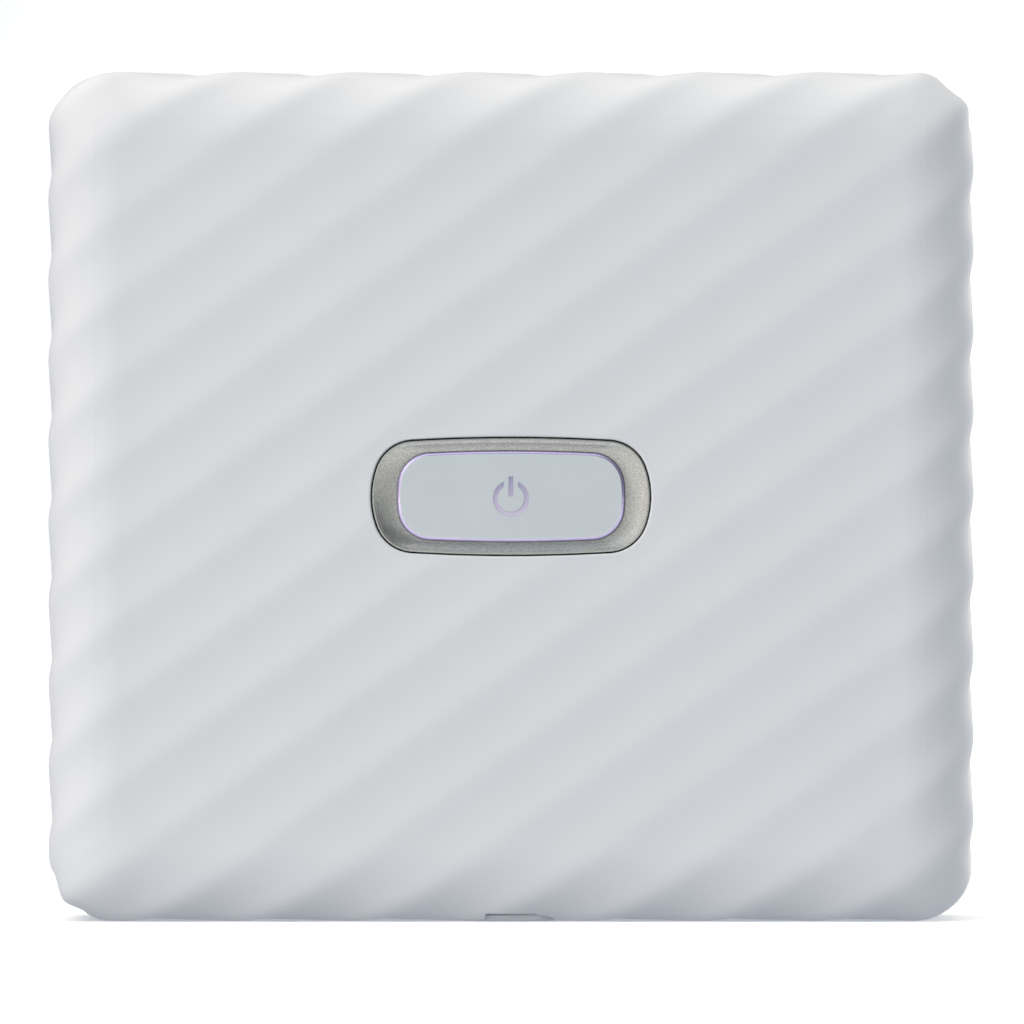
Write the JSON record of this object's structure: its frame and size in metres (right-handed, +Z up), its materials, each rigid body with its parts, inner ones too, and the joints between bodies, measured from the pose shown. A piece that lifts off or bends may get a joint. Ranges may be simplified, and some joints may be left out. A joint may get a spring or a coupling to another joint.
{
  "type": "instant photo printer",
  "caption": "Slab-shaped portable instant-film printer with a finely waved case, oval power button, film slot on top and a hinged rear film door.",
  "frame": {"origin": "middle of the bottom of the case", "axes": "+Z up, the film comes out upwards; the front face with the power button looks towards -Y; +X to the right seen from the front"},
  "size_m": [0.139, 0.0338, 0.1275],
  "materials": {
    "shell": "fine leather-grained moulded plastic, ash white",
    "black_plastic": "black moulded plastic",
    "satin_silver": "satin silver plating with a fine sparkle",
    "ice_gloss": "gloss ice-white plastic",
    "lavender_inlay": "pearly lavender plastic",
    "grey_plastic": "satin grey plastic",
    "switch_body": "moulded switch housing",
    "yellow_mark": "yellow strip",
    "felt": "black light-sealing felt",
    "lens_glass": "rod-lens array",
    "circuit_board": "green solder resist",
    "flex_film": "amber flexible circuit",
    "spring_steel": "spring steel",
    "zinc_steel": "zinc-plated sheet steel",
    "bearing_plastic": "natural acetal",
    "roller_steel": "ground steel",
    "gear_plastic": "natural acetal",
    "brass": "turned brass",
    "bright_steel": "bright steel",
    "motor_can": "drawn steel can",
    "chip_black": "moulded components",
    "cell_wrap": "blue shrink film",
    "lead_red": "insulated wire",
    "window_clear": "smoked window pane",
    "foam": "closed-cell foam",
    "soft_rubber": "soft elastomer",
    "screw_steel": "nickel-plated steel"
  },
  "bodies": {
    "case": {"front_housing": "shell", "rear_housing": "shell", "button_well": "black_plastic", "film_chamber": "black_plastic", "head_housing": "black_plastic", "exit_guide": "black_plastic", "battery_tray": "black_plastic", "power_switch": "switch_body", "side_switch": "switch_body", "load_mark": "yellow_mark", "exit_felts": "felt", "lens_array": "lens_glass", "head_board": "circuit_board", "main_board": "circuit_board", "head_flex": "flex_film", "roller_springs": "spring_steel", "pick_spring": "spring_steel", "left_bracket": "zinc_steel", "right_bracket": "zinc_steel", "gear_plate": "zinc_steel", "motor_clamp": "zinc_steel", "roller_bearings": "bearing_plastic", "gear_posts": "bright_steel", "pick_guides": "bright_steel", "hinge_pins": "bright_steel", "usb_receptacle": "bright_steel", "drive_motor": "motor_can", "board_parts": "chip_black", "battery": "cell_wrap", "battery_lead": "lead_red", "board_screws": "screw_steel", "chassis_screws": "screw_steel", "case_screws": "screw_steel", "bracket_screws": "screw_steel"},
    "power_button": {"button_ring": "satin_silver", "button_plate": "ice_gloss", "button_sign": "lavender_inlay", "button_carrier": "black_plastic"},
    "side_button": {"side_button": "grey_plastic"},
    "film_door": {"door_panel": "shell", "door_plate": "black_plastic", "pressure_springs": "spring_steel", "film_window": "window_clear", "door_foam": "foam", "door_screws": "screw_steel", "latch_spring": "spring_steel"},
    "door_latch": {"latch_slider": "grey_plastic"},
    "port_cover": {"port_cover": "soft_rubber"},
    "front_roller": {"front_roller": "roller_steel", "front_roller_gear": "gear_plastic"},
    "rear_roller": {"rear_roller": "roller_steel", "rear_roller_gear": "gear_plastic"},
    "second_gear": {"second_gear": "gear_plastic"},
    "first_gear": {"first_gear": "gear_plastic"},
    "cam_gear": {"cam_gear": "gear_plastic"},
    "motor_rotor": {"motor_pinion": "brass", "motor_shaft": "bright_steel"},
    "pick_arm": {"pick_arm": "zinc_steel"}
  },
  "joints": [
    {"name": "power_button_press", "type": "slide", "parent": "case", "child": "power_button", "axis": [0, 1, 0], "range_m": [0, 0.0006], "stiffness_N_per_m": 2000, "springref_m": -0.0003},
    {"name": "side_button_press", "type": "slide", "parent": "case", "child": "side_button", "axis": [-1, 0, 0], "range_m": [0, 0.0006], "stiffness_N_per_m": 1500, "springref_m": -0.0003},
    {"name": "film_door_hinge", "type": "hinge", "parent": "case", "child": "film_door", "pos_m": [0, 0.01455, 0.0078], "axis": [-1, 0, 0], "range_deg": [0, 90]},
    {"name": "door_latch_slide", "type": "slide", "parent": "film_door", "child": "door_latch", "axis": [0, 0, -1], "range_m": [0, 0.0022], "stiffness_N_per_m": 400, "springref_m": -0.001},
    {"name": "port_cover_hinge", "type": "hinge", "parent": "case", "child": "port_cover", "pos_m": [0, -0.0054, 0.0002], "axis": [1, 0, 0], "range_deg": [0, 90]},
    {"name": "front_roller_spin", "type": "hinge", "parent": "case", "child": "front_roller", "pos_m": [0.062, -0.0063, 0.1152], "axis": [1, 0, 0], "continuous": true},
    {"name": "rear_roller_spin", "type": "hinge", "parent": "case", "child": "rear_roller", "pos_m": [0.062, 0.0021, 0.1152], "axis": [1, 0, 0], "continuous": true},
    {"name": "second_gear_spin", "type": "hinge", "parent": "case", "child": "second_gear", "pos_m": [0.062, -0.00426, 0.10759], "axis": [1, 0, 0], "continuous": true},
    {"name": "first_gear_spin", "type": "hinge", "parent": "case", "child": "first_gear", "pos_m": [0.062, -0.00239, 0.09696], "axis": [1, 0, 0], "continuous": true},
    {"name": "cam_gear_spin", "type": "hinge", "parent": "case", "child": "cam_gear", "pos_m": [0.062, 0.00041, 0.08653], "axis": [1, 0, 0], "continuous": true},
    {"name": "motor_spin", "type": "hinge", "parent": "case", "child": "motor_rotor", "pos_m": [0.062, -0.00951, 0.09052], "axis": [1, 0, 0], "continuous": true},
    {"name": "pick_arm_slide", "type": "slide", "parent": "case", "child": "pick_arm", "axis": [0, 0, 1], "range_m": [0, 0.0085], "stiffness_N_per_m": 60, "springref_m": -0.003}
  ],
  "couplings": [
    {"joint": "rear_roller_spin", "follows": "front_roller_spin", "ratio": -1},
    {"joint": "second_gear_spin", "follows": "front_roller_spin", "ratio": -1.1429},
    {"joint": "first_gear_spin", "follows": "front_roller_spin", "ratio": 3.4286},
    {"joint": "cam_gear_spin", "follows": "front_roller_spin", "ratio": -1.1429},
    {"joint": "motor_spin", "follows": "front_roller_spin", "ratio": -13.029}
  ]
}
